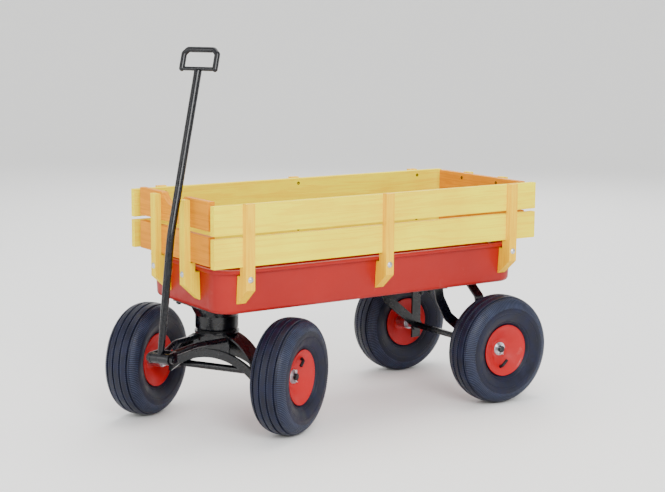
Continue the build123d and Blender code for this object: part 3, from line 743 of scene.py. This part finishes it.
# ------------------------------------------------------------------ body of the cart
@dataclass
class StakeSides:
    """The boards and stakes round the tray, with their screws and bolts."""

    levels: tuple[str, ...] = ("lower", "upper")
    lower_screw: float = 8.0 * MM
    upper_screw: float = 12.0 * MM
    half_stake: float = 11.0 * MM
    head_r: float = 3.9
    head_rise: float = 0.15

    def head(self) -> bpy.types.Mesh:
        """Builds the flat head of a wood screw with a crossed recess.

        Returns:
            The mesh, facing +Y.
        """
        recess, depth = 0.9, 1.1
        rise, edge = self.head_rise, self.head_r - 0.25
        profile = [(self.head_r, -0.2), (self.head_r, rise / 2), (edge, rise), (recess, rise)]
        profile += [(recess, rise - depth), (recess - 0.5, -depth - 0.4), (edge, -0.6)]

        def shape(corner: int, step: int, turn: float) -> tuple[float, float]:
            """Stretches the recess into a cross.

            Args:
                corner: number of the outline's corner.
                step: number of the step round the axis; not used.
                turn: the step's angle.

            Returns:
                The corner's own angle, and how far it drops towards the axis.
            """
            arm = 1.5 * max(0.0, math.cos(4 * turn)) ** 3
            return turn, -arm if corner in (3, 4) else 0.0

        return lathe("wood_screw_head", profile, 48, shape)

    def places(self) -> list[Matrix]:
        """Finds where the screws go, on the inner faces of the boards behind the stakes.

        Returns:
            The place of every screw head.
        """
        found = []
        for wall, axis, side in (("left", 1, 1), ("right", 1, -1), ("front", 0, 1), ("rear", 0, -1)):
            low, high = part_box(f"{wall}_stakes")
            along = 1 - axis
            first, last = low[along] + self.half_stake, high[along] - self.half_stake
            spots = [first, (first + last) / 2, last] if axis else [first, last]
            inward = Vector((0, 0, 0))
            inward[axis] = -side
            turn = Vector((0, 1, 0)).rotation_difference(inward).to_matrix().to_4x4()
            for level in self.levels:
                board_low, board_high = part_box(f"{wall}_{level}_board")
                at = Vector((0, 0, 0))
                at[axis] = (board_low if side > 0 else board_high)[axis]
                if level == "lower":
                    at.z = board_low[2] + self.lower_screw
                else:
                    at.z = board_high[2] - self.upper_screw
                for spot in spots:
                    at[along] = spot
                    found.append(Matrix.Translation(at) @ turn)
        return found

    def build(self, black: bpy.types.Material) -> None:
        """Sets a screw head in the board behind every stake.

        Args:
            black: finish of the screws.
        """
        head, joined = self.head(), bmesh.new()
        for place in self.places():
            copy = head.copy()
            copy.transform(place)
            joined.from_mesh(copy)
        mesh = bpy.data.meshes.new("wood_screw_heads")
        joined.to_mesh(mesh)
        joined.free()
        mesh.materials.append(black)
        heads = placed(mesh, "wood_screw_heads", Matrix(), "chassis")
        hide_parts("board_screws")
        LOG.info("built the screw heads")

    def dress(
        self,
        side: bpy.types.Material,
        shaded_end: bpy.types.Material,
        side_post: bpy.types.Material,
        end_post: bpy.types.Material,
        plate: bpy.types.Material,
    ) -> None:
        """Finishes the woodwork.

        Args:
            side: pine with its grain along the cart.
            shaded_end: pine with its grain across the cart, in a darker orange that is painted shade on the
                cart's ends.
            side_post: pine with upright grain, for the stakes along the sides.
            end_post: paler pine with upright grain, for the stakes at the ends.
            plate: finish of the bolts and nuts.
        """
        for level in self.levels:
            dress([f"left_{level}_board", f"right_{level}_board"], side)
            # The front and rear boards take the darker orange pine, painted shade for the cart's ends.
            dress([f"front_{level}_board", f"rear_{level}_board"], shaded_end)
        dress(["left_stakes", "right_stakes"], side_post)
        dress(["front_stakes", "rear_stakes"], end_post)
        dress(["stake_bolts", "stake_nuts"], plate)


@dataclass
class Tray:
    """The pressed steel tray."""

    def dress(self, enamel: bpy.types.Material, black: bpy.types.Material) -> None:
        """Finishes the tray and the bolts through its floor."""
        dress(["tray_floor", "tray_walls"], enamel)
        dress(["tray_floor_bolts"], black)


@dataclass
class FrontTruck:
    """The turret, turntable, arched beam, axle and tongue."""

    def dress(
        self,
        black: bpy.types.Material,
        plate: bpy.types.Material,
        nylon: bpy.types.Material,
    ) -> None:
        """Finishes the steered half and the turret above it.

        Args:
            black: finish of the pressed and forged steel.
            plate: finish of the kingpin, washers and split pins.
            nylon: finish of the thrust washer.
        """
        dress(["turret_base_plate", "turret_cup", "turntable_plate", "front_axle_arch"], black)
        dress(["tongue", "front_axle", "handle_pivot_bolt", "handle_pivot_nut"], black)
        dress(["kingpin_bolt", "kingpin_nut", "front_axle_washers_and_pins"], plate)
        dress(["thrust_washer"], nylon)


@dataclass
class RearTruck:
    """The strap hanger, its braces and the rear axle."""

    def dress(self, black: bpy.types.Material, plate: bpy.types.Material) -> None:
        """Finishes the rear underframe."""
        dress(["rear_axle_hanger", "rear_axle_braces", "rear_axle"], black)
        dress(["rear_axle_washers_and_pins"], plate)


@dataclass
class Handle:
    """The bent pull handle and its loop grip."""

    def dress(self, black: bpy.types.Material) -> None:
        """Finishes the handle."""
        dress(["handle_shaft", "handle_loop"], black)


# ------------------------------------------------------------------ studio
@dataclass
class Studio:
    """A pale cove, soft lights and the camera."""

    floor_r: float = 9.0
    wall_h: float = 6.0
    bend_r: float = 3.0
    bend_steps: int = 16
    segments: int = 96
    air_strength: float = 1.05
    lit_point: tuple[float, float, float] = (0.0, 0.0, 0.3)
    target: tuple[float, float, float] = (-0.0308, 0.0, 0.3798)
    azimuth: float = 55.55
    elevation: float = 8.97
    roll: float = 0.45
    distance: float = 3.4485
    focal: float = 1470.1
    image_width: float = 665.0
    sensor: float = 36.0

    def build_cove(self) -> None:
        """Builds a round floor that curves up into a wall, so that no horizon shows."""
        outline: Outline = [(0.0001, 0.0), (2.0, 0.0), (5.0, 0.0)]
        for step in range(self.bend_steps + 1):
            angle = math.radians(90 * step / self.bend_steps)
            reach = self.floor_r - self.bend_r + self.bend_r * math.sin(angle)
            outline.append((reach, self.bend_r * (1 - math.cos(angle))))
        outline.append((self.floor_r, self.wall_h))
        points, faces = [], []
        for step in range(self.segments):
            turn = 2 * math.pi * step / self.segments
            points += [(r * math.cos(turn), r * math.sin(turn), z) for r, z in outline]
        count = len(outline)
        for step in range(self.segments):
            here, there = step * count, (step + 1) % self.segments * count
            faces += [(here + i, there + i, there + i + 1, here + i + 1) for i in range(count - 1)]
        mesh = bpy.data.meshes.new("cove")
        mesh.from_pydata(points, [], faces)
        mesh.shade_smooth()
        cove = bpy.data.objects.new("cove", mesh)
        bpy.context.scene.collection.objects.link(cove)
        paper = Finish("pale_paper_backdrop", "#FCFCFB", 0.9)
        tree, shader, where = paper.start()
        paper.bump(tree, shader, noise(tree, where, 4.0, 3.0), 0.02)
        mesh.materials.append(bpy.data.materials[paper.name])

    def build_lights(self) -> None:
        """Hangs a key light over the cart's left, a weaker fill in front and a broad top light."""
        lamps = [
            ("key", (1.2, 3.6, 2.6), 2.2, 150.0),
            ("fill", (4.0, 0.2, 1.6), 2.6, 40.0),
            ("top", (-0.6, -0.6, 4.4), 3.4, 120.0),
            ("back", (-2.8, -3.2, 2.4), 2.2, 55.0),
        ]
        for name, spot, size, power in lamps:
            data = bpy.data.lights.new(name, "AREA")
            data.shape, data.size, data.energy = "DISK", size, power
            lamp = bpy.data.objects.new(name, data)
            bpy.context.scene.collection.objects.link(lamp)
            lamp.location = spot
            aim = Vector(self.lit_point) - Vector(spot)
            lamp.rotation_euler = aim.to_track_quat("-Z", "Y").to_euler()
            lamp.visible_camera = False
        world = bpy.data.worlds.new("studio_air")
        world.use_nodes = True
        air = world.node_tree.nodes["Background"]
        air.inputs["Color"].default_value = linear(WHITE)
        air.inputs["Strength"].default_value = self.air_strength
        bpy.context.scene.world = world

    def build_camera(self) -> None:
        """Sets the camera at the chosen viewing angle."""
        az, el, roll = (math.radians(v) for v in (self.azimuth, self.elevation, self.roll))
        back = Vector((math.cos(el) * math.cos(az), math.cos(el) * math.sin(az), math.sin(el)))
        right = (-back).cross(Vector((0, 0, 1))).normalized()
        up = right.cross(-back)
        rolled_right = right * math.cos(roll) + up * math.sin(roll)
        rolled_up = up * math.cos(roll) - right * math.sin(roll)
        data = bpy.data.cameras.new("camera")
        data.sensor_width = self.sensor
        data.lens = self.focal / self.image_width * self.sensor
        camera = bpy.data.objects.new("camera", data)
        bpy.context.scene.collection.objects.link(camera)
        turn = Matrix((rolled_right, rolled_up, back)).transposed().to_4x4()
        camera.matrix_world = Matrix.Translation(Vector(self.target) + back * self.distance) @ turn
        bpy.context.scene.camera = camera

    def build(self) -> None:
        """Builds the whole studio."""
        self.build_cove()
        self.build_lights()
        self.build_camera()
        LOG.info("built the studio")


# ------------------------------------------------------------------ the whole cart
def main() -> None:
    """Builds every finish and sub-assembly in order."""
    logging.basicConfig(level=logging.INFO, format="%(message)s")
    side_pine = StainedPine("yellow_stained_pine_planed_sides", "#FFF000", 0.55, 0.1, "#E89A00").material()
    # The end boards are the same pine as the sides, coloured a darker orange as painted shade on the cart's
    # ends.
    shaded_end_pine = StainedPine(
        "stained_pine_planed_ends_darkened_as_painted_shade", "#EC9800", 0.5, 0.12, "#A85000", Grain.ACROSS
    ).material()
    post_pine = StainedPine(
        "yellow_stained_pine_planed_stakes", "#FFCC00", 0.5, 0.12, "#D67800", Grain.UPRIGHT, ring_mm=3.5
    ).material()
    pale_post = StainedPine(
        "pale_yellow_stained_pine_planed_stakes", "#FFE400", 0.5, 0.12, "#D88400", Grain.UPRIGHT, ring_mm=3.5
    ).material()
    tray_red = Enamel("brick_red_stoved_enamel", "#A00E06", 0.5, dust="#B0766C").material()
    rim_red = Enamel("bright_red_stoved_enamel", "#B80C12", 0.42, dust="#B98880", scuff_mm=30.0).material()
    black = Enamel(
        "gloss_black_stoved_enamel", "#02030A", 0.22, dust="#0A0D1C", coat=0.25, peel_mm=2.0, scuff_mm=35.0
    ).material()
    zinc = PlatedSteel("bright_zinc_plated_steel", "#D9DBDF", 0.3, 0.5).material()
    tread = MouldedRubber("black_moulded_tyre_rubber", "#05081C", 0.44, dust="#141B40").material()
    # Lighter blue-grey rubber, with a lighter dust tint, painted as the highlight on the raised teeth and
    # rib corners.
    highlight_rubber = MouldedRubber("tyre_rubber_painted_highlight", "#2E3448", 0.42, dust="#454E68").material()
    butyl = MouldedRubber("black_butyl_rubber", "#07080C", 0.5, dust="#1A1C26").material()
    nylon = MouldedNylon("black_moulded_nylon", "#0B0B0D", 0.5).material()

    sides = StakeSides()
    sides.build(black)
    sides.dress(side_pine, shaded_end_pine, post_pine, pale_post, zinc)
    Tray().dress(tray_red, black)
    FrontTruck().dress(black, zinc, nylon)
    RearTruck().dress(black, zinc)
    Handle().dress(black)
    for corner in ("front_left", "front_right", "rear_left", "rear_right"):
        wheel = Wheel(corner, Side.LEFT if corner.endswith("left") else Side.RIGHT)
        wheel.build(tread, highlight_rubber, rim_red)
        wheel.dress(zinc, butyl)
    Studio().build()


if __name__ == "__main__":
    main()
